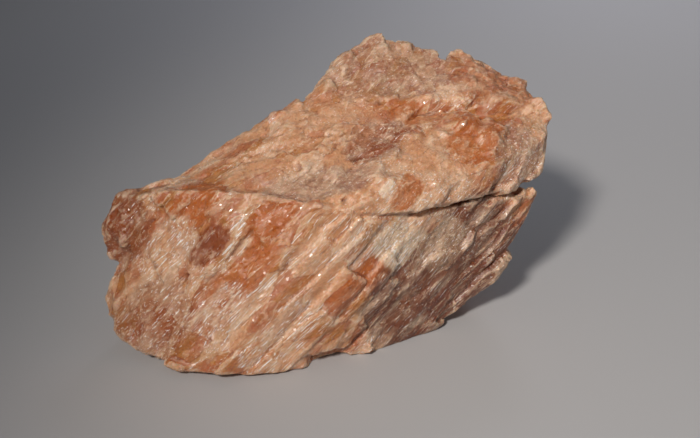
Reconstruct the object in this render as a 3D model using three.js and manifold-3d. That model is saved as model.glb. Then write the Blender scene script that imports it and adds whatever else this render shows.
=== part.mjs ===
// A hand-sized lump of massive apatite, broken out of a vein. It is one stone: a long body of parallel
// blades that run up to the right, with a thick slab across the top that overhangs the body in front.
// Millimetres, +Z up. -Y is the broad bladed face, and the stone rests on its flat base at Z = 0.
import * as THREE from "three";
import { ConvexGeometry } from "three/addons/geometries/ConvexGeometry.js";
import { SimplifyModifier } from "three/addons/modifiers/SimplifyModifier.js";
import { mergeVertices } from "three/addons/utils/BufferGeometryUtils.js";
import Module from "manifold-3d";

// The way the blades run through the whole stone.
const GRAIN = new THREE.Vector3(0.66, 0.19, 0.73).normalize();

// The stone is a bundle of six-sided columns along the grain, each broken across into short blades.
const COLUMN = { width: 8, depth: 7, uneven: 0.3 };
const BLADE = { length: 25, uneven: 0.35, slant: 0.45 };
// How far one blade, or a group of them, stands proud of the broken face or is sunk in it, and how it tips.
const STEP = { blade: 0.9, group: 0.8, groupSize: 2.6, tip: 0.05 };
// How far a blade's sides and its ends run into its neighbours.
const OVERLAP = { sides: 1.03, ends: 0.2 };
// The inside of the stone, which the blades clothe, as a share of the whole.
const KERNEL = 0.95;
// How far the corners of a lump or a pit are pushed about, as a share of its half size.
const ROUGH = { mean: 1.05, spread: 0.32 };
// Corners closer than this are one corner.
const WELD = 1e-3;
// How far apart two corners are drawn where blades would only touch there.
const GAP = 0.05;
// Triangles left once the flat faces, which the joins cut into slivers, are made whole again.
const FACES = 9000;
// The middle of the stone, from which everything is laid out.
const MIDDLE = new THREE.Vector3(2, 8, 42);
// No part of the stone is further from its middle than this.
const REACH = 110;

// Corners of the large broken blocks that make up the stone.
const corner = {
  // Left end: an upper nose over a lower toe, with a notch between them.
  noseTip: [-74, 2, 41],
  noseChin: [-72, -3, 31],
  noseTop: [-70, 4, 52],
  noseBrow: [-59, -5, 55],
  noseBack: [-66, 20, 40],
  noseThroat: [-64, 4, 24],
  toeTip: [-75, -5, 17],
  toeUnder: [-71, -13, 8],
  toeHeel: [-60, -21, 4],
  toeBack: [-63, 18, 10],
  toeTop: [-70, -5, 28],
  // Front edge of the top, from left to right.
  ridgeLeft: [-49, -8, 58],
  ridgeMiddle: [-32, -14, 61],
  ridgeRight: [-5, -17, 59],
  ridgeEnd: [9, -18, 56],
  // Foot of the broad front face.
  footLeft: [-47, -27, 3],
  footMiddle: [-33, -30, 3],
  footCentre: [-20, -26, 2],
  footRight: [-9, -25, 1],
  footInner: [4, -18, 2],
  footTurn: [16, -11, -1],
  footFar: [38, 3, 0],
  // Swell of the front face, and the slanting turn where it meets the right half.
  swell: [-22, -27, 22],
  turnHigh: [14, -16, 50],
  turnMiddle: [7, -20, 29],
  turnLow: [0, -22.5, 15],
  // The right half, which falls away under the slab.
  flankTop: [27, -8.5, 51],
  flankMiddle: [24, -11, 24],
  endUnder: [50, 12, 8],
  endLow: [59, 12, 17],
  endMiddle: [68, 15, 33],
  endHigh: [74, 18, 47],
  endBack: [58, 38, 22],
  // Outline of the underside, which is cut flat a little higher.
  baseLeft: [-45, -12, -2.5],
  baseFront: [-14, -20, -2.5],
  baseBackLeft: [-41, 22, -2.5],
  baseBack: [2, 40, -2.5],
  baseBackRight: [37, 31, -2.5],
  // Back of the stone, low and high.
  backLeft: [-56, 28, 26],
  backMiddle: [-18, 46, 40],
  backRight: [36, 52, 30],
  highLeft: [-44, 26, 44],
  highMiddle: [-4, 45, 58],
  highRight: [46, 52, 60],
  // Left and back edges of the top.
  crestLow: [-49, 8, 57],
  crestStep: [-37, 14, 64],
  crestMiddle: [-14, 21, 73.5],
  crestHigh: [-4, 27, 79.5],
  summitLeft: [5, 39, 88.5],
  summit: [16, 45, 93.5],
  summitRight: [32, 46, 92],
  saddle: [43, 42, 87],
  // Shallow trough behind the ridge, and the valley that climbs from it between the two halves of the top.
  troughLeft: [-30, -10, 59],
  troughRight: [-4, -13, 57],
  valleyLow: [6, -5, 60],
  valleyMiddle: [14, 5, 66],
  valleyHigh: [26, 17, 72],
  // Slab: its lower lip in front, its upper edge, and its round right end.
  lipLeft: [8, -18, 55],
  lipMiddle: [28, -12, 53],
  lipRight: [52, 1, 52],
  lipEnd: [74, 17, 54],
  edgeLeft: [14, -15, 61],
  edgeMiddle: [42, -4, 59],
  edgeRight: [60, 8, 63],
  edgeEnd: [75, 20, 66],
  tipLow: [76, 26, 64],
  tipFront: [77, 30, 71],
  tipBack: [72, 38, 77],
  // Top of the slab, and the higher step at its back.
  browLeft: [24, 4, 68],
  browRight: [58, 18, 71],
  scarpFoot: [32, 22, 73],
  scarpLeft: [29, 25, 78],
  scarpRight: [62, 27, 77],
  slabBack: [58, 49, 84],
  slabBackMiddle: [45, 47, 88],
  slabUnder: [64, 40, 50],
  slabRoot: [0, 20, 42],
};

const blocks = [
  // The long bladed body.
  ["noseBrow", "ridgeLeft", "ridgeMiddle", "ridgeRight", "ridgeEnd", "turnHigh", "turnMiddle", "turnLow",
    "swell", "footLeft", "footMiddle", "footCentre", "footRight", "footInner", "toeTop", "toeHeel",
    "baseLeft", "baseFront", "baseBackLeft", "baseBack", "backLeft", "backMiddle", "crestLow", "troughLeft"],
  // The right half of the body, which falls away under the slab.
  ["turnHigh", "turnMiddle", "turnLow", "flankTop", "flankMiddle", "footInner", "footTurn", "footFar",
    "endUnder", "endLow", "endMiddle", "endHigh", "endBack", "baseBack", "baseBackRight", "backRight",
    "backMiddle", "ridgeRight"],
  // The nose and the toe.
  ["noseTip", "noseChin", "noseTop", "noseBrow", "noseBack", "noseThroat", "crestLow", "ridgeLeft",
    "backLeft"],
  ["toeTip", "toeUnder", "toeHeel", "toeBack", "toeTop", "baseLeft", "baseBackLeft", "footLeft",
    "noseThroat", "noseBrow", "backLeft"],
  // The rising left half of the top.
  ["crestLow", "crestStep", "crestMiddle", "crestHigh", "troughLeft", "troughRight", "valleyLow",
    "valleyMiddle", "valleyHigh", "backLeft", "highLeft", "highMiddle", "backMiddle", "slabRoot"],
  // The summit.
  ["crestMiddle", "crestHigh", "summitLeft", "summit", "summitRight", "saddle", "valleyHigh", "highMiddle",
    "highRight", "backMiddle", "backRight", "slabRoot"],
  // The overhanging slab, and the higher step at its back.
  ["lipLeft", "lipMiddle", "lipRight", "lipEnd", "edgeLeft", "edgeMiddle", "edgeRight", "edgeEnd", "tipLow",
    "tipFront", "browLeft", "browRight", "scarpFoot", "slabUnder", "slabRoot", "valleyLow", "troughRight"],
  ["scarpLeft", "scarpRight", "tipFront", "tipBack", "slabBack", "slabBackMiddle", "slabUnder", "slabRoot",
    "saddle", "highRight"],
];

// Lumps that stand out of the blocks. Size is length, width and thickness; along is the way of the length.
const lumps = [
  // Rounded knobs of clear apatite on the slab.
  { at: [45, 19, 71], size: [19, 14, 8], along: [1, 0.3, 0.2], facing: [0, -0.3, 1] },
  { at: [56, 15, 69], size: [16, 12, 7], along: [0.8, 0.6, 0.1], facing: [0.3, -0.5, 1] },
  // Pale crystal just under the lip of the slab.
  { at: [25, -6, 43], size: [19, 13, 7], along: [0.9, 0.4, 0.5], facing: [0.4, -1, 0] },
  // Rounded front of the slab.
  { at: [20, -9, 58], size: [30, 12, 9], along: [1, 0.25, 0.1], facing: [0, -1, 0.5] },
  // Nose and toe of the left end, and the small toe under the right half.
  { at: [-67, 1, 43], size: [20, 13, 13], along: [0, 0.2, 1], facing: [-1, 0, 0] },
  { at: [-67, -6, 19], size: [19, 13, 11], along: [0.5, -0.2, 0.8], facing: [-1, -0.5, 0] },
  { at: [13, -11, 5], size: [15, 10, 8], along: [0.9, 0.3, 0.4], facing: [0.3, -1, 0] },
  // Crumbs along the crest and the back edge of the slab.
  { at: [-16, 18, 70.5], size: [14, 9, 5] },
  { at: [-2, 29, 78.5], size: [16, 10, 6] },
  { at: [6, 38, 85.5], size: [13, 10, 6] },
  { at: [16, 44, 90], size: [12, 9, 5] },
  { at: [26, 43, 89], size: [12, 9, 5] },
  { at: [36, 44, 87], size: [10, 8, 5] },
  { at: [47, 45, 83], size: [15, 10, 6] },
  { at: [58, 44, 79], size: [12, 10, 6] },
  { at: [66, 39, 75], size: [15, 10, 7] },
  { at: [71, 31, 70], size: [14, 12, 9] },
  // Blocks that break up the hidden back.
  { at: [-36, 27, 24], size: [50, 30, 20], facing: [-0.4, 1, 0] },
  { at: [6, 42, 60], size: [60, 34, 14], facing: [0, 1, 0.2] },
  { at: [36, 38, 24], size: [46, 30, 20], facing: [0.3, 1, -0.2] },
];

// Pits broken out of the blocks.
const pits = [
  // Long pocket down the front face, along the blades.
  { at: [-38, -19.5, 44], size: [27, 9, 7], facing: [-0.2, -1, 0.3] },
  { at: [-50, -20.5, 27], size: [20, 7, 6], facing: [-0.4, -1, 0.3] },
  { at: [-4, -25.5, 40], size: [26, 7, 5], facing: [0.1, -1, 0.2] },
  // Crevice that climbs across the top from the trough.
  { at: [18, 9, 71], size: [26, 9, 8], along: [0.66, 0.7, 0.28], facing: [0, -0.5, 1] },
  { at: [-10, -9, 63], size: [34, 9, 7], along: [1, 0.1, 0], facing: [0, -0.5, 1] },
  // Slit under the lip of the slab.
  { at: [51, 3, 51], size: [64, 12, 4], along: [0.87, 0.49, 0.03], facing: [0, 0, 1] },
  // Arch between the foot of the broad face and the small toe.
  { at: [3, -21, 1], size: [22, 20, 10], along: [0.9, 0.4, 0], facing: [0, 0, 1] },
  // Breaks in the hidden back.
  { at: [-8, 47, 30], size: [44, 20, 10], facing: [-0.1, 1, -0.2] },
  { at: [-26, 38, 58], size: [34, 16, 10], facing: [-0.5, 1, 0.3] },
  { at: [32, 56, 44], size: [38, 18, 9], facing: [0.1, 1, 0] },
];

const wasm = await Module();
wasm.setup();

function solidFrom(geometry) {
  const bare = new THREE.BufferGeometry().setAttribute("position", geometry.getAttribute("position"));
  if (geometry.index) {
    bare.setIndex(geometry.index);
  }
  const merged = mergeVertices(bare, WELD);
  return new wasm.Manifold(
    new wasm.Mesh({
      numProp: 3,
      vertProperties: merged.attributes.position.array,
      triVerts: new Uint32Array(merged.index.array),
    }),
  );
}

function geometryFrom(solid) {
  const { vertProperties, triVerts } = solid.getMesh();
  return new THREE.BufferGeometry()
    .setAttribute("position", new THREE.BufferAttribute(vertProperties, 3))
    .setIndex(new THREE.BufferAttribute(triVerts, 1));
}

function hull(points) {
  return solidFrom(new ConvexGeometry(points));
}

// A repeatable number from -1 to 1 for one place, given as whole numbers.
function chance(...place) {
  let mixed = 7;
  for (const value of place) {
    mixed = Math.imul(mixed ^ (value + 1013), 0x9e3779b1);
    mixed ^= mixed >>> 15;
  }
  return (mixed >>> 0) / 2147483648 - 1;
}

// The twelve corners of a twenty-sided ball.
const ball = mergeVertices(
  new THREE.IcosahedronGeometry(1, 0).deleteAttribute("normal").deleteAttribute("uv"),
).getAttribute("position");

// A flat-faced lump: a twenty-sided ball stretched to its size, with its corners pushed about.
function chunk({ at, size, along = GRAIN.toArray(), facing = [0, -0.5, 1] }) {
  const length = new THREE.Vector3(...along).normalize();
  const width = new THREE.Vector3(...facing).cross(length).normalize();
  const basis = new THREE.Matrix4().makeBasis(length, width, new THREE.Vector3().crossVectors(length, width))
    .scale(new THREE.Vector3(...size).multiplyScalar(0.5))
    .setPosition(...at);
  const corners = [];
  for (let i = 0; i < ball.count; i++) {
    const push = ROUGH.mean + ROUGH.spread * chance(Math.round(at[0]), Math.round(at[2]), i);
    corners.push(new THREE.Vector3().fromBufferAttribute(ball, i).multiplyScalar(push).applyMatrix4(basis));
  }
  return hull(corners);
}

const across = new THREE.Vector3(0, -1, 0).cross(GRAIN).normalize();
const into = new THREE.Vector3().crossVectors(GRAIN, across);

// A point of the bundle: v and w across the grain, u along it.
function bundlePoint(u, v, w) {
  return MIDDLE.clone().addScaledVector(GRAIN, u).addScaledVector(across, v).addScaledVector(into, w);
}

// A corner that three neighbouring columns share. Corners lie on a brick pattern and are pushed about.
function columnCorner(i, j) {
  const jog = (i + j) % 2 === 0 ? 1 / 6 : -1 / 6;
  return {
    v: (i / 2 + COLUMN.uneven * 0.5 * chance(i, j, 1)) * COLUMN.width,
    w: (j + jog + COLUMN.uneven * chance(i, j, 2)) * COLUMN.depth,
  };
}

// Where a column is broken across: a slanting plane, as a height along the grain over v and w.
function breakHeight(column, k, v, w) {
  const start = (chance(...column, 3) * 0.5 + k + BLADE.uneven * chance(...column, k, 4)) * BLADE.length;
  return start + BLADE.slant * (chance(...column, k, 5) * (v - column[0] * COLUMN.width / 2)
    + chance(...column, k, 6) * (w - column[1] * COLUMN.depth));
}

// One blade of one column, a little fuller than its place so that neighbours run into each other.
function blade(column, k) {
  const [i, j] = column;
  const ring = [[-1, 0], [0, 0], [1, 0], [1, 1], [0, 1], [-1, 1]].map(([a, b]) => columnCorner(i + a, j + b));
  const centre = {
    v: ring.reduce((sum, c) => sum + c.v, 0) / ring.length,
    w: ring.reduce((sum, c) => sum + c.w, 0) / ring.length,
  };
  const points = [];
  for (const c of ring) {
    const v = centre.v + (c.v - centre.v) * OVERLAP.sides;
    const w = centre.w + (c.w - centre.w) * OVERLAP.sides;
    points.push(bundlePoint(breakHeight(column, k, v, w) - OVERLAP.ends, v, w));
    points.push(bundlePoint(breakHeight(column, k + 1, v, w) + OVERLAP.ends, v, w));
  }
  return { solid: hull(points), centre: bundlePoint((k + 0.5) * BLADE.length, centre.v, centre.w) };
}

// The broken block as one blade sees it: pushed out or in, and tipped a little.
function blockFor(core, column, k, centre) {
  const [i, j] = column;
  const group = [i / 2, j, k * 1.5].map((value) => Math.floor(value / STEP.groupSize));
  const out = centre.clone().sub(MIDDLE).normalize();
  const proud = STEP.blade * chance(i, j, k, 7) + STEP.group * chance(...group, 8);
  const tip = new THREE.Quaternion().setFromEuler(
    new THREE.Euler(...[9, 10, 11].map((salt) => STEP.tip * chance(i, j, k, salt))),
  );
  const move = new THREE.Matrix4().makeTranslation(centre.clone().addScaledVector(out, proud))
    .multiply(new THREE.Matrix4().makeRotationFromQuaternion(tip))
    .multiply(new THREE.Matrix4().makeTranslation(centre.clone().negate()));
  return core.transform(move.elements);
}

// The solid with its flat faces made whole, down to a number of triangles.
async function tidied(solid, faces) {
  const geometry = mergeVertices(geometryFrom(solid), WELD);
  const surplus = geometry.getAttribute("position").count * Math.max(0, 1 - faces / solid.numTri());
  return solidFrom(await new SimplifyModifier().modify(geometry, surplus));
}

// The largest part of a solid. Its mesh is read back first, which frees splinters that hang on by a corner.
function largestPart(solid) {
  return solidFrom(geometryFrom(solid)).decompose().reduce((a, b) => (a.volume() > b.volume() ? a : b));
}

// The geometry with the corners at which two blades only touch drawn apart, into the blade of each.
function drawnApart(geometry) {
  geometry.computeVertexNormals();
  const { position, normal } = geometry.attributes;
  const point = (i) => new THREE.Vector3().fromBufferAttribute(position, i);
  const places = new Map();
  for (let i = 0; i < position.count; i++) {
    const place = point(i).divideScalar(WELD).round().toArray().join();
    places.set(place, [...(places.get(place) ?? []), i]);
  }
  const touching = [...places.values()].filter((corners) => corners.length > 1).flat();
  for (const i of touching) {
    const drawn = point(i).addScaledVector(new THREE.Vector3().fromBufferAttribute(normal, i), -GAP);
    position.setXYZ(i, ...drawn);
  }
  return geometry;
}

// The broken stone before its blades show: blocks and lumps joined, less the pits.
function makeCore() {
  const solids = blocks.map((names) => hull(names.map((name) => new THREE.Vector3(...corner[name]))));
  return wasm.Manifold.union([...solids, ...lumps.map(chunk)]).subtract(wasm.Manifold.union(pits.map(chunk)));
}

// Every blade that reaches the surface, cut to the block as that blade sees it.
function makeBlades(core, kernel) {
  const columns = Math.ceil(REACH / COLUMN.width);
  const rows = Math.ceil(REACH / COLUMN.depth);
  const breaks = Math.ceil(REACH / BLADE.length);
  const blades = [];
  for (let j = -rows; j <= rows; j++) {
    for (let i = -columns * 2 + Math.abs(j % 2); i <= columns * 2; i += 2) {
      for (let k = -breaks; k <= breaks; k++) {
        const { solid, centre } = blade([i, j], k);
        if (!solid.intersect(core).isEmpty() && !solid.subtract(kernel).isEmpty()) {
          blades.push(solid.intersect(blockFor(core, [i, j], k, centre)));
        }
      }
    }
  }
  return blades;
}

// The finished stone, cut flat at Z = 0, with the middle of its box over the origin.
async function makeStone() {
  const core = makeCore();
  const kernel = core.translate(MIDDLE.clone().negate().toArray()).scale(KERNEL).translate(MIDDLE.toArray());
  const whole = largestPart(wasm.Manifold.union([kernel, ...makeBlades(core, kernel)]));
  const ground = solidFrom(new THREE.BoxGeometry(4 * REACH, 4 * REACH, REACH).translate(0, 0, -REACH / 2));
  const cut = largestPart((await tidied(whole, FACES)).subtract(ground));
  const { min, max } = cut.boundingBox();
  const centred = cut.translate([-(min[0] + max[0]) / 2, -(min[1] + max[1]) / 2, 0]);
  return drawnApart(geometryFrom(centred));
}

const stone = new THREE.Mesh(
  await makeStone(),
  new THREE.MeshStandardMaterial({ color: 0xc07a50, roughness: 0.5, metalness: 0 }),
);
stone.name = "apatite";

const group = new THREE.Group();
group.add(stone);

export default group;
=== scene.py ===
import math

import bpy
import numpy as np
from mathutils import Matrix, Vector, noise


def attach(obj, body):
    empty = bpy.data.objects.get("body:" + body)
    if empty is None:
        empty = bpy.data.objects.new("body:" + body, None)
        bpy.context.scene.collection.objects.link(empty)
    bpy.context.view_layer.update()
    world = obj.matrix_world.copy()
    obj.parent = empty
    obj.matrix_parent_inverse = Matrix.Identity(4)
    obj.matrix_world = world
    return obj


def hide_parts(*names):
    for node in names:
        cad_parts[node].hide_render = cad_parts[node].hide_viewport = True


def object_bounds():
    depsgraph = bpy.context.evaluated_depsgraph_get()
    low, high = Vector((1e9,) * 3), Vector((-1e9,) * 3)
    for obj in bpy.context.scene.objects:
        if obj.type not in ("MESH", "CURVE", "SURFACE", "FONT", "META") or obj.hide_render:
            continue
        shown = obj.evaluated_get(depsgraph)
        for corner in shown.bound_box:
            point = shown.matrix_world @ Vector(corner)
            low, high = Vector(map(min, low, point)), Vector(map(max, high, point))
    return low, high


# A hand-sized lump of massive apatite on a pale floor, seen from above and in front of its broad face.
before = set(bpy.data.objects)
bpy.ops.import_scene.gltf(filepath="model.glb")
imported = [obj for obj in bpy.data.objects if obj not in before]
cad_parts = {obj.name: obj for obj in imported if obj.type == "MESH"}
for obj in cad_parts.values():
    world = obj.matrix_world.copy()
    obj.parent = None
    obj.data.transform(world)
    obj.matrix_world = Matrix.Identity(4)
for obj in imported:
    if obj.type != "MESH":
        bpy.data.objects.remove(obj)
cad_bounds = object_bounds()
MM = 0.001


# Camera.
# A small camera held above and in front of the broad bladed face, a forearm's length away. It looks down
# at the stone, near enough for the left end to loom a little.
LENS = 60
LOOK_DOWN = math.radians(25)
DISTANCE = 0.390
TARGET = Vector((0.0068, -0.0115, 0.045))

bpy.ops.object.select_all(action="DESELECT")
bpy.ops.object.camera_add(
    location=TARGET + DISTANCE * Vector((0, -math.cos(LOOK_DOWN), math.sin(LOOK_DOWN))),
    rotation=(math.pi / 2 - LOOK_DOWN, 0, 0),
)
camera = bpy.context.object
camera.name = "camera"
camera.data.lens = LENS
camera.data.sensor_width = 36
camera.data.clip_start = 0.01
bpy.context.scene.camera = camera


# Floor.
# A sheet of plain pale grey paper, laid flat and running back out of sight. Paper is matt, with a
# faint tooth that only softens the light.
def linear(colour):
    """A colour like #c8a080 as linear red, green, blue and alpha."""
    values = [int(colour[i:i + 2], 16) / 255 for i in (1, 3, 5)]
    return [v / 12.92 if v <= 0.04045 else ((v + 0.055) / 1.055) ** 2.4 for v in values] + [1.0]


def add(tree, kind, links, **settings):
    """Adds one node. The settings are its properties, and links gives each input a value or a socket."""
    node = tree.nodes.new(kind)
    for name, value in settings.items():
        setattr(node, name, value)
    for name, value in links.items():
        socket = node.inputs[name]
        if isinstance(value, bpy.types.NodeSocket):
            tree.links.new(value, socket)
        else:
            socket.default_value = value
    return node


PAPER_COLOUR = "#bfbfc1"
PAPER_SIZE = 12.0

paper = bpy.data.materials.new("matt_paper")
paper.use_nodes = True
tree = paper.node_tree
tree.nodes.clear()
shader = add(tree, "ShaderNodeBsdfPrincipled", {"Base Color": linear(PAPER_COLOUR), "Roughness": 0.85})
add(tree, "ShaderNodeOutputMaterial", {"Surface": shader.outputs[0]})

bpy.ops.object.select_all(action="DESELECT")
bpy.ops.mesh.primitive_plane_add(size=PAPER_SIZE, location=(0, PAPER_SIZE / 4, 0))
floor = bpy.context.object
floor.name = "floor"
floor.data.materials.append(paper)


# Lights.
# One small lamp above and a little to the left of the camera, so that the shadow falls behind the stone and
# shows at its right. Its beam fades out to the left. A second lamp lights the paper behind the stone, and a
# weak large one and a dim grey room fill the shadows.
LAMPS = [
    {"name": "key", "kind": "SPOT", "at": (-0.27, -0.82, 0.70), "aim": (0.19, 0.08, 0.0), "watts": 42,
     "colour": "#fff8f0",
     "shape": {"spot_size": math.radians(36), "spot_blend": 1.0, "shadow_soft_size": 0.07}},
    {"name": "backdrop", "kind": "AREA", "at": (0.25, 0.90, 0.80), "aim": (0.20, 0.52, 0.0), "watts": 0.42,
     "colour": "#f4f4ff", "shape": {"size": 0.30, "spread": math.radians(60)}},
    {"name": "fill", "kind": "AREA", "at": (0.70, -0.50, 0.45), "aim": (0.0, 0.0, 0.05), "watts": 0.12,
     "colour": "#f2f5ff", "shape": {"size": 0.60, "spread": math.pi}},
]
ROOM_COLOUR, ROOM_STRENGTH = "#d0d2d6", 0.17

for lamp in LAMPS:
    place = Vector(lamp["at"])
    bpy.ops.object.light_add(type=lamp["kind"], location=place,
                             rotation=(Vector(lamp["aim"]) - place).to_track_quat("-Z", "Y").to_euler())
    light = bpy.context.object
    light.name = lamp["name"]
    light.data.energy = lamp["watts"]
    light.data.color = linear(lamp["colour"])[:3]
    for name, value in lamp["shape"].items():
        setattr(light.data, name, value)

world = bpy.data.worlds.new("room")
bpy.context.scene.world = world
world.use_nodes = True
world.node_tree.nodes["Background"].inputs["Color"].default_value = linear(ROOM_COLOUR)
world.node_tree.nodes["Background"].inputs["Strength"].default_value = ROOM_STRENGTH
bpy.context.scene.view_settings.view_transform = "Standard"


# Stone.
# One broken lump of massive apatite, a phosphate mineral that grows here as a bundle of slanting blades.
# Each blade breaks in flat steps: the broad face shows them side-on, and the top and the left end show
# them broken across, in short rough grains.

# The blades run along the grain, steeply up to the right and a little away from the front.
GRAIN = Vector((0.71, 0.17, 0.68)).normalized()
ACROSS = Vector((0, -1, 0)).cross(GRAIN).normalized()
INTO = GRAIN.cross(ACROSS)
GRAIN_FRAME = np.array([GRAIN, ACROSS, INTO])
# Points of the solid that are nearer than the weld become one, and the skin's faces are this wide.
WELD = 0.01 * MM
SKIN = 0.78 * MM
CREASE = math.radians(25)

bpy.ops.object.select_all(action="DESELECT")
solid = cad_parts["apatite"]
stone = solid.copy()
stone.data = solid.data.copy()
stone.name = "stone"
bpy.context.collection.objects.link(stone)
bpy.context.view_layer.objects.active = stone
stone.select_set(True)
bpy.ops.object.mode_set(mode="EDIT")
bpy.ops.mesh.select_all(action="SELECT")
bpy.ops.mesh.remove_doubles(threshold=WELD)
bpy.ops.object.mode_set(mode="OBJECT")
skin = stone.modifiers.new("skin", "REMESH")
skin.mode = "VOXEL"
skin.voxel_size = SKIN
bpy.ops.object.modifier_apply(modifier=skin.name)

soften = stone.modifiers.new("soften", "SMOOTH")
soften.factor = 0.5
soften.iterations = 4
bpy.ops.object.modifier_apply(modifier=soften.name)

# Blades from large to small: length, width and thickness in millimetres, how far one stands proud of the
# next, how much its face slopes, and over what share of its width the step to the next one is spread.
# Grains are the same for the blades' broken ends.
BLADES = [
    {"size": (24, 7.0, 7.0), "step": 0.42, "slope": 0.10, "soft": 0.08},
    {"size": (10, 3.2, 3.2), "step": 0.14, "slope": 0.07, "soft": 0.12},
    {"size": (4.5, 1.7, 1.7), "step": 0.04, "slope": 0.05, "soft": 0.20},
]
GRAINS = [
    {"size": (12, 8, 8), "step": 0.32, "slope": 0.12, "soft": 0.16},
    {"size": (5.5, 3.8, 3.8), "step": 0.18, "slope": 0.16, "soft": 0.16},
    {"size": (2.8, 2.0, 2.0), "step": 0.08, "slope": 0.12, "soft": 0.20},
]
# The face of a piece slopes less along the grain than across it.
SLOPE_ALONG = 0.4
# The blades wander by this much over this distance. Without a seed the noise would differ in each run.
WANDER, WANDER_SCALE = 1.6, 18.0
noise.seed_set(11)
# Each size of piece is moved by another multiple of this step, so that no two sizes share their seams.
SEED = Vector((31.7, 12.3, 57.1))
BLADE_SEED, GRAIN_SEED = 1, 5
# How far a face has to look up before broken ends begin to show on it, and before it shows nothing else.
UPWARD = (0.25, 0.6)
# At the right end, under the slab, the blades break off more roughly: where that starts, how far on it is
# full, how much is added, up to which height, and over what height it fades.
RIGHT_START, RIGHT_REACH, RIGHT_ROUGHNESS = 40.0, 14.0, 1.8
SLAB_FOOT, SLAB_FADE = 58.0, 8.0
# Over this height above the base the steps grow from nothing, so that the stone stands flat.
BASE_FADE = 2.0


def smooth(low, high, value):
    """From 0 at the low value to 1 at the high one, with soft ends."""
    t = min(max((value - low) / (high - low), 0.0), 1.0)
    return t * t * (3 - 2 * t)


def broken(place, pieces, seed):
    """How far the broken surface stands out at a place, and a number that is the same all over one piece."""
    height, tone = 0.0, 0.0
    for i, piece in enumerate(pieces):
        size = piece["size"]
        cell = Vector(place[k] / size[k] for k in range(3)) + (seed + i) * SEED
        distances, points = noise.voronoi(cell)
        faces = []
        for point in points[:2]:
            mark = noise.cell_vector(point)
            offset = Vector((cell[k] - point[k]) * size[k] for k in range(3))
            lean = Vector((mark.z * SLOPE_ALONG, mark.y, mark.x)) * piece["slope"]
            faces.append(piece["step"] * mark.x + offset.dot(lean))
        share = 0.5 - 0.5 * smooth(0.0, piece["soft"], distances[1] - distances[0])
        height += faces[0] + (faces[1] - faces[0]) * share
        tone += noise.cell_vector(points[0]).y / (i + 1)
    return np.array((height, tone))


mesh = stone.data
count = len(mesh.vertices)
places = np.empty(count * 3)
mesh.vertices.foreach_get("co", places)
places = places.reshape(-1, 3) / MM
outward = np.empty(count * 3)
mesh.vertex_normals.foreach_get("vector", outward)
outward = outward.reshape(-1, 3)

# Faces that look up cut across the blades and break in grains, and the others break in blades.
marks = np.zeros((count, 3))
for i in range(count):
    place = Vector(places[i])
    wander = noise.noise_vector(place / WANDER_SCALE) * WANDER
    local = Vector(GRAIN_FRAME @ (place + wander))
    ends = smooth(*UPWARD, outward[i][2])
    if ends < 1:
        marks[i, :2] += (1 - ends) * broken(local, BLADES, BLADE_SEED)
    if ends > 0:
        marks[i, :2] += ends * broken(local, GRAINS, GRAIN_SEED)
    marks[i, 2] = ends
right = np.clip((places[:, 0] - RIGHT_START) / RIGHT_REACH, 0, 1)
under = np.clip((SLAB_FOOT - places[:, 2]) / SLAB_FADE, 0, 1)
rougher = 1 + RIGHT_ROUGHNESS * right * under
proud = marks[:, 0] * rougher * np.clip(places[:, 2] / BASE_FADE, 0, 1)
# The skin keeps inside the solid's box.
low, high = (np.array(corner) / MM for corner in cad_bounds)
moved = np.clip(places + outward * proud[:, None], low, high)
mesh.vertices.foreach_set("co", (moved * MM).ravel())
mesh.update()
bpy.ops.object.shade_smooth_by_angle(angle=CREASE)

# How far each place stands out of the surface round it, close by and over a wider stretch. A copy of the
# surface is levelled, and the ridges are measured after a few turns of that and the swells after many.
RIDGE_TURNS, SWELL_TURNS = 5, 40
edges = np.empty(len(mesh.edges) * 2, dtype=int)
mesh.edges.foreach_get("vertices", edges)
starts, finishes = np.concatenate((edges.reshape(-1, 2), edges.reshape(-1, 2)[:, ::-1])).T
shares = np.bincount(starts, minlength=count) + 1
mesh.vertex_normals.foreach_get("vector", outward.reshape(-1))
levelled = moved.copy()
reliefs = {}
for turn in range(1, SWELL_TURNS + 1):
    sums = [np.bincount(starts, levelled[finishes, k], count) for k in range(3)]
    levelled = (levelled + np.transpose(sums)) / shares[:, None]
    if turn in (RIDGE_TURNS, SWELL_TURNS):
        reliefs[turn] = ((moved - levelled) * outward).sum(axis=1)
SURFACE = {
    "tone": marks[:, 1],
    "ends": marks[:, 2],
    "ridge": reliefs[RIDGE_TURNS],
    "swell": reliefs[SWELL_TURNS],
}
for name, values in SURFACE.items():
    mesh.attributes.new(name, "FLOAT", "POINT").data.foreach_set("value", values.copy())

# Massive apatite, broken: a glassy mineral, clear orange inside, that looks white and feathery where a
# blade has cracked or bruised and deep red in its crevices and cracks. The hollows are darkened further with
# painted shade in deep red. Light goes a millimetre or two in.
DEEP = "#6c2c14"
RUST = "#8e451c"
CLEAR = "#ba6526"
AMBER = "#bd7c3e"
SALMON = "#b76e48"
PEACH = "#d29a71"
BEIGE = "#cfae8c"
# This grey is the summit's own grey, and painted shade in the trough and on the slab's end.
GREY_AND_SHADE = "#94786a"
# This brown is the right half's own colour, made darker with painted shade.
UMBER_AND_SHADE = "#6c3723"
CREAM = "#ebd0b4"
FROST = "#f8f2ee"
APATITE_IOR = 1.63

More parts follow.
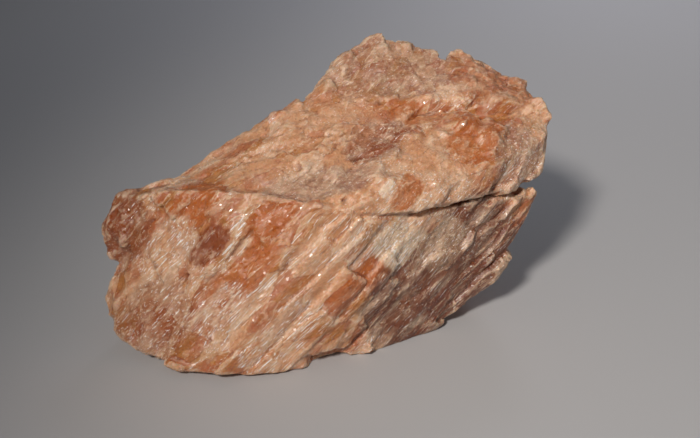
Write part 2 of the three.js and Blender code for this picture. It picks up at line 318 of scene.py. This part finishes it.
# Patches that differ from the rest: where, how far they reach along the blades, across and inwards, their
# colour, how strong it is, and how much white veil lies over them, from 0 to 1. Millimetres.
PATCHES = [
    # Clear windows of the broad face, and the deep red pocket between them.
    {"at": (-43, -23, 56), "size": (11, 5.5, 9), "colour": CLEAR, "strength": 0.95, "veil": 0.0},
    {"at": (-39, -29.5, 44), "size": (9, 4.2, 6), "colour": RUST, "strength": 0.9, "veil": 0.0},
    {"at": (-18, -29, 54), "size": (11, 5, 8), "colour": CLEAR, "strength": 0.85, "veil": 0.0},
    {"at": (-27, -33, 36), "size": (16, 5, 8), "colour": CLEAR, "strength": 0.7, "veil": 0.1},
    {"at": (0, -31, 48), "size": (12, 5, 8), "colour": PEACH, "strength": 0.7, "veil": 0.6},
    # Pale bruised ground round them.
    {"at": (-53, -23, 40), "size": (14, 7, 8), "colour": PEACH, "strength": 0.5, "veil": 0.75},
    {"at": (-16, -37, 15), "size": (17, 7, 8), "colour": PEACH, "strength": 0.4, "veil": 0.8},
    {"at": (-35, -36, 24), "size": (12, 5, 8), "colour": SALMON, "strength": 0.7, "veil": 0.85},
    # Rust-red left end and foot.
    {"at": (-70, -11, 44), "size": (12, 12, 12), "colour": RUST, "strength": 0.75, "veil": 0.3},
    {"at": (-58, -28, 15), "size": (18, 12, 12), "colour": RUST, "strength": 0.5, "veil": 0.5},
    # Salmon-brown right half, darkened with painted shade on the side that turns from the lamp, with a beige
    # patch under the lip of the slab.
    {"at": (38, -12, 24), "size": (34, 24, 16), "colour": UMBER_AND_SHADE, "strength": 0.85, "veil": 0.35},
    # A tiny spot of painted shade in deep red, just under the slab's lip.
    {"at": (33, -14, 46), "size": (1.8, 1.4, 3), "colour": DEEP, "strength": 1.0, "veil": 0.0},
    {"at": (23, -20, 41), "size": (9, 8, 9), "colour": BEIGE, "strength": 0.95, "veil": 1.0},
    {"at": (38, -11, 36), "size": (10, 8, 8), "colour": BEIGE, "strength": 0.35, "veil": 0.6},
    # Painted shade in grey in the trough, and the deep red crevice above it.
    {"at": (-4, -20, 60.5), "size": (20, 13, 6), "colour": GREY_AND_SHADE, "strength": 0.5, "veil": 0.5},
    {"at": (17, -3, 69), "size": (13, 9, 8), "colour": RUST, "strength": 0.8, "veil": 0.55},
    # Peach front and top of the slab, its clear knob, and its greyer end, partly painted shade.
    {"at": (30, -16, 60), "size": (14, 16, 9), "colour": PEACH, "strength": 0.9, "veil": 0.75},
    {"at": (25, -21, 58.5), "size": (6, 4, 6), "colour": CLEAR, "strength": 0.7, "veil": 0.3},
    {"at": (19, -23.5, 61.5), "size": (3.5, 1.6, 2), "colour": CREAM, "strength": 0.8, "veil": 1.0},
    {"at": (34, -6, 67), "size": (10, 10, 8), "colour": PEACH, "strength": 0.85, "veil": 0.35},
    {"at": (50, 0, 70), "size": (11, 9, 8), "colour": CLEAR, "strength": 0.7, "veil": 0.2},
    {"at": (64, 2, 60), "size": (12, 12, 8), "colour": GREY_AND_SHADE, "strength": 0.4, "veil": 0.7},
    # Pale top, greyish summit, and a clearer back corner.
    {"at": (0, 6, 73), "size": (16, 14, 12), "colour": PEACH, "strength": 0.4, "veil": 0.4},
    {"at": (27, 8, 79), "size": (7, 7, 6), "colour": CLEAR, "strength": 0.7, "veil": 0.2},
    {"at": (18, 26, 88), "size": (20, 26, 12), "colour": GREY_AND_SHADE, "strength": 0.35, "veil": 0.5},
    {"at": (60, 26, 80), "size": (16, 16, 10), "colour": SALMON, "strength": 0.5, "veil": 0.3},
]
# Ragged noise of this size frays a patch's border, and the patch fades out between these two reaches.
PATCH_FRAY, PATCH_INNER, PATCH_OUTER = 1.3, 1.30, 1.80

# Noises drawn out along the blades: length and width in millimetres, detail and roughness.
NOISES = {
    "broad": (30, 12, 2.0, 0.50),
    "cloud": (12, 5, 3.0, 0.55),
    "ragged": (6, 2.0, 5.0, 0.65),
    "feather": (12, 1.2, 5.0, 0.62),
    "scratch": (9, 0.40, 3.0, 0.60),
    "speckle": (0.9, 0.9, 2.0, 0.60),
}
# Crystals as cells drawn out in the same way, and whether the seams between them show.
CELLS = {"blade": (19, 8, True), "splinter": (8, 2.6, True), "glint": (0.9, 0.9, False)}
# The blades bow, and the borders of the crystals fray: over what distance, and how far each way.
BOW_SCALE, BOW = 22.0, (5.0, 5.0, 5.0)
FRAY_SCALE, FRAY = 2.2, (1.6, 0.6, 0.6)

# From clear to pale, as the sum of a broad drift and these shares of what differs from blade to blade.
PALES = (CLEAR, SALMON, AMBER, SALMON, PEACH)
PALE_LOW, PALE_HIGH = 0.52, 1.16
CLARITY_SHARE, SPLINTER_SHARE, TONE_SHARE, ENDS_SHARE = 0.60, 0.14, 0.11, 0.14
# The veil of fine fractures: the share of the blades' cloudiness, its two limits, and how thick it gets.
CLOUDINESS_SHARE, VEIL_LOW, VEIL_HIGH, VEIL_MOST = 0.35, 0.52, 0.84, 0.85
# White fracture where the veil is: clouds, feathers and scratches. Each row is a noise, how much the veil
# adds to it, how much a broken end takes off it, between which two values it turns white, its colour, and
# how white it gets.
WHITES = [
    ("cloud", 0.20, 0.0, 0.52, 0.80, CREAM, 0.36),
    ("feather", 0.14, -0.02, 0.63, 0.74, CREAM, 0.50),
    ("scratch", 0.13, -0.02, 0.675, 0.715, FROST, 0.95),
]
# White lace along the seams, and deep red cracks along other stretches of them: which seam, how wide and
# how strong. The ragged noise breaks them up between the two limits.
LACE = [("splinter", 0.06, 0.30), ("blade", 0.03, 0.6), ("split", 0.020, 0.65)]
LACE_VEIL, LACE_LOW, LACE_HIGH = 0.08, 0.52, 0.60
CRACKS = [("splinter", 0.05, 0.15), ("blade", 0.03, 0.4), ("split", 0.018, 0.4)]
CRACK_NONE, CRACK_FULL = 0.49, 0.43
# Bruises on what stands proud, and painted shade in deep red in what lies low, in millimetres of relief.
BRUISE_FEATHER, BRUISE_LOW, BRUISE_HIGH, BRUISE_MOST = 0.8, 0.52, 0.70, 0.4
RIDGE_HOLLOW_SHADE = (-0.12, -0.40, 0.45)
SWELL_HOLLOW_SHADE = (-0.5, -1.8, 0.35)
# Between these two values of the speckle, grit makes the colour this much darker and then lighter.
GRIT_LOW, GRIT_HIGH = 0.3, 0.7
GRIT_DARK, GRIT_LIGHT = 0.90, 1.10
# How much light goes into the clear and the white mineral and how rough they are, with the whiteness at
# which the second value is reached. Some tiny faces, chosen by chance, have only a share of the roughness.
INNER_CLEAR, INNER_WHITE, INNER_END = 0.60, 0.15, 0.6
ROUGH_CLEAR, ROUGH_WHITE, ROUGH_END = 0.50, 0.58, 0.8
BRIGHT_FROM, BRIGHT_FULL, BRIGHT_SHARE = 0.86, 0.94, 0.3
# How far single splinters and tiny faces lean.
TILTS = {"splinter": 0.18, "glint": 0.30}

apatite = bpy.data.materials.new("broken_apatite")
apatite.use_nodes = True
tree = apatite.node_tree
tree.nodes.clear()
where = add(tree, "ShaderNodeTexCoord", {}).outputs["Object"]
axes = [add(tree, "ShaderNodeVectorMath", {0: where, 1: axis / MM}, operation="DOT_PRODUCT").outputs["Value"]
        for axis in (GRAIN, ACROSS, INTO)]
along = add(tree, "ShaderNodeCombineXYZ", {0: axes[0], 1: axes[1], 2: axes[2]}).outputs[0]
bends = [along]
for scale, reach in ((BOW_SCALE, BOW), (FRAY_SCALE, FRAY)):
    bend = add(tree, "ShaderNodeTexNoise", {"Vector": bends[-1], "Scale": 1 / scale, "Detail": 2.0})
    bends.append(add(tree, "ShaderNodeVectorMath", {0: bend.outputs["Color"], 1: reach, 2: bends[-1]},
                     operation="MULTIPLY_ADD").outputs[0])
bowed, frayed = bends[1:]
noises = {}
for name, (length, width, detail, rough) in NOISES.items():
    drawn = add(tree, "ShaderNodeVectorMath", {0: bowed, 1: (1 / length, 1 / width, 1 / width)},
                operation="MULTIPLY").outputs[0]
    noises[name] = add(tree, "ShaderNodeTexNoise", {"Vector": drawn, "Scale": 1.0, "Detail": detail,
                                                    "Roughness": rough}).outputs[0]
crystals = {}
seams = {}
for name, (length, width, seamed) in CELLS.items():
    drawn = add(tree, "ShaderNodeVectorMath", {0: frayed, 1: (1 / length, 1 / width, 1 / width)},
                operation="MULTIPLY").outputs[0]
    crystals[name] = add(tree, "ShaderNodeTexVoronoi", {"Vector": drawn, "Scale": 1.0}).outputs["Color"]
    if seamed:
        seams[name] = add(tree, "ShaderNodeTexVoronoi", {"Vector": drawn, "Scale": 1.0},
                          feature="DISTANCE_TO_EDGE").outputs["Distance"]
# Fine splits run where the feathery noise passes its middle value.
middle = add(tree, "ShaderNodeMath", {0: noises["feather"], 1: 0.5}, operation="SUBTRACT").outputs[0]
seams["split"] = add(tree, "ShaderNodeMath", {0: middle}, operation="ABSOLUTE").outputs[0]
tone, ends, ridge, swell = (add(tree, "ShaderNodeAttribute", {}, attribute_name=name).outputs["Fac"]
                            for name in SURFACE)

# The mineral's own colour, from clear to pale, and its veil.
pale = noises["broad"]
clarity, cloudiness, _ = add(tree, "ShaderNodeSeparateColor", {0: crystals["blade"]}).outputs
for source, weight in ((clarity, CLARITY_SHARE), (crystals["splinter"], SPLINTER_SHARE), (tone, TONE_SHARE),
                       (ends, ENDS_SHARE)):
    pale = add(tree, "ShaderNodeMath", {0: source, 1: weight, 2: pale}, operation="MULTIPLY_ADD").outputs[0]
pale = add(tree, "ShaderNodeMapRange", {0: pale, 1: PALE_LOW, 2: PALE_HIGH}).outputs[0]
ramp = add(tree, "ShaderNodeValToRGB", {"Fac": pale})
while len(ramp.color_ramp.elements) < len(PALES):
    ramp.color_ramp.elements.new(0.5)
for k, value in enumerate(PALES):
    ramp.color_ramp.elements[k].position = k / (len(PALES) - 1)
    ramp.color_ramp.elements[k].color = linear(value)
colour = ramp.outputs["Color"]
veil = add(tree, "ShaderNodeMath", {0: cloudiness, 1: CLOUDINESS_SHARE, 2: noises["broad"]},
           operation="MULTIPLY_ADD").outputs[0]
veil = add(tree, "ShaderNodeMapRange", {0: veil, 1: VEIL_LOW, 2: VEIL_HIGH, 4: VEIL_MOST}).outputs[0]
for patch in PATCHES:
    centre, size = GRAIN_FRAME @ Vector(patch["at"]), patch["size"]
    inside = add(tree, "ShaderNodeVectorMath", {0: along, 1: [1 / s for s in size],
                                                2: [-c / s for c, s in zip(centre, size)]},
                 operation="MULTIPLY_ADD").outputs[0]
    squared = add(tree, "ShaderNodeVectorMath", {0: inside, 1: inside}, operation="MULTIPLY").outputs[0]
    reach = add(tree, "ShaderNodeVectorMath", {0: squared}, operation="LENGTH").outputs["Value"]
    reach = add(tree, "ShaderNodeMath", {0: noises["ragged"], 1: PATCH_FRAY, 2: reach},
                operation="MULTIPLY_ADD").outputs[0]
    cover = add(tree, "ShaderNodeMapRange", {0: reach, 1: PATCH_OUTER, 2: PATCH_INNER},
                interpolation_type="SMOOTHSTEP").outputs[0]
    amount = add(tree, "ShaderNodeMath", {0: cover, 1: patch["strength"]}, operation="MULTIPLY").outputs[0]
    colour = add(tree, "ShaderNodeMix", {0: amount, 6: colour, 7: linear(patch["colour"])},
                 data_type="RGBA").outputs[2]
    veil = add(tree, "ShaderNodeMix", {0: cover, 2: veil, 3: patch["veil"]}).outputs[0]

# White fracture, lace and bruises over it, then the deep red of cracks, painted shade in deep red in the
# hollows, and the grit.
white = 0.0
for name, lift, drop, low_end, high_end, tint, strength in WHITES:
    raised = noises[name]
    for source, weight in ((veil, lift), (ends, drop)):
        raised = add(tree, "ShaderNodeMath", {0: source, 1: weight, 2: raised},
                     operation="MULTIPLY_ADD").outputs[0]
    shown = add(tree, "ShaderNodeMapRange", {0: raised, 1: low_end, 2: high_end, 4: strength},
                interpolation_type="SMOOTHSTEP").outputs[0]
    colour = add(tree, "ShaderNodeMix", {0: shown, 6: colour, 7: linear(tint)}, data_type="RGBA").outputs[2]
    white = add(tree, "ShaderNodeMath", {0: white, 1: shown}, operation="MAXIMUM").outputs[0]
torn = add(tree, "ShaderNodeMath", {0: veil, 1: LACE_VEIL, 2: noises["ragged"]},
           operation="MULTIPLY_ADD").outputs[0]
for name, width, strength in LACE:
    near = add(tree, "ShaderNodeMapRange", {0: seams[name], 2: width, 3: strength, 4: 0.0}).outputs[0]
    shown = add(tree, "ShaderNodeMapRange", {0: torn, 1: LACE_LOW, 2: LACE_HIGH, 4: near},
                interpolation_type="SMOOTHSTEP").outputs[0]
    colour = add(tree, "ShaderNodeMix", {0: shown, 6: colour, 7: linear(CREAM)}, data_type="RGBA").outputs[2]
raised = add(tree, "ShaderNodeMath", {0: noises["feather"], 1: BRUISE_FEATHER, 2: ridge},
             operation="MULTIPLY_ADD").outputs[0]
bruised = add(tree, "ShaderNodeMapRange", {0: raised, 1: BRUISE_LOW, 2: BRUISE_HIGH, 4: BRUISE_MOST},
              interpolation_type="SMOOTHSTEP").outputs[0]
colour = add(tree, "ShaderNodeMix", {0: bruised, 6: colour, 7: linear(CREAM)}, data_type="RGBA").outputs[2]
for name, width, strength in CRACKS:
    near = add(tree, "ShaderNodeMapRange", {0: seams[name], 2: width, 3: strength, 4: 0.0}).outputs[0]
    shown = add(tree, "ShaderNodeMapRange", {0: noises["ragged"], 1: CRACK_NONE, 2: CRACK_FULL, 4: near},
                interpolation_type="SMOOTHSTEP").outputs[0]
    colour = add(tree, "ShaderNodeMix", {0: shown, 6: colour, 7: linear(DEEP)}, data_type="RGBA").outputs[2]
# Painted shade: what lies low is darkened towards deep red, over the close ridges and the wider swells.
for source, (shallow, deep, strength) in ((ridge, RIDGE_HOLLOW_SHADE), (swell, SWELL_HOLLOW_SHADE)):
    painted_shade = add(tree, "ShaderNodeMapRange", {0: source, 1: shallow, 2: deep, 4: strength},
               interpolation_type="SMOOTHSTEP").outputs[0]
    colour = add(tree, "ShaderNodeMix", {0: painted_shade, 6: colour, 7: linear(DEEP)}, data_type="RGBA").outputs[2]
grit = add(tree, "ShaderNodeMapRange", {0: noises["speckle"], 1: GRIT_LOW, 2: GRIT_HIGH,
                                        3: GRIT_DARK, 4: GRIT_LIGHT}).outputs[0]
colour = add(tree, "ShaderNodeVectorMath", {0: colour, 1: grit}, operation="MULTIPLY").outputs[0]

# Glassy faces that each lean their own way, duller where the fracture is white.
inner = add(tree, "ShaderNodeMapRange", {0: white, 2: INNER_END,
                                         3: INNER_CLEAR, 4: INNER_WHITE}).outputs[0]
gloss = add(tree, "ShaderNodeMapRange", {0: white, 2: ROUGH_END,
                                         3: ROUGH_CLEAR, 4: ROUGH_WHITE}).outputs[0]
bright = add(tree, "ShaderNodeSeparateColor", {0: crystals["glint"]}).outputs[2]
bright = add(tree, "ShaderNodeMapRange", {0: bright, 1: BRIGHT_FROM, 2: BRIGHT_FULL, 3: 1.0,
                                          4: BRIGHT_SHARE}).outputs[0]
gloss = add(tree, "ShaderNodeMath", {0: gloss, 1: bright}, operation="MULTIPLY").outputs[0]
relief = add(tree, "ShaderNodeMath", {0: noises["feather"], 1: noises["scratch"]},
             operation="ADD").outputs[0]
normal = add(tree, "ShaderNodeBump", {"Height": relief, "Distance": 0.12 * MM, "Strength": 0.45}).outputs[0]
for name, tilt in TILTS.items():
    lean = add(tree, "ShaderNodeVectorMath", {0: crystals[name], 1: (0.5, 0.5, 0.5)},
               operation="SUBTRACT").outputs[0]
    normal = add(tree, "ShaderNodeVectorMath", {0: lean, 1: (tilt, tilt, tilt), 2: normal},
                 operation="MULTIPLY_ADD").outputs[0]
normal = add(tree, "ShaderNodeVectorMath", {0: normal}, operation="NORMALIZE").outputs[0]
shader = add(tree, "ShaderNodeBsdfPrincipled", {
    "Base Color": colour, "Roughness": gloss, "IOR": APATITE_IOR, "Normal": normal,
    "Subsurface Weight": inner, "Subsurface Radius": (1.0, 0.52, 0.28), "Subsurface Scale": 1.6 * MM,
})
add(tree, "ShaderNodeOutputMaterial", {"Surface": shader.outputs[0]})
mesh.materials.clear()
mesh.materials.append(apatite)

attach(stone, "root")
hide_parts("apatite")
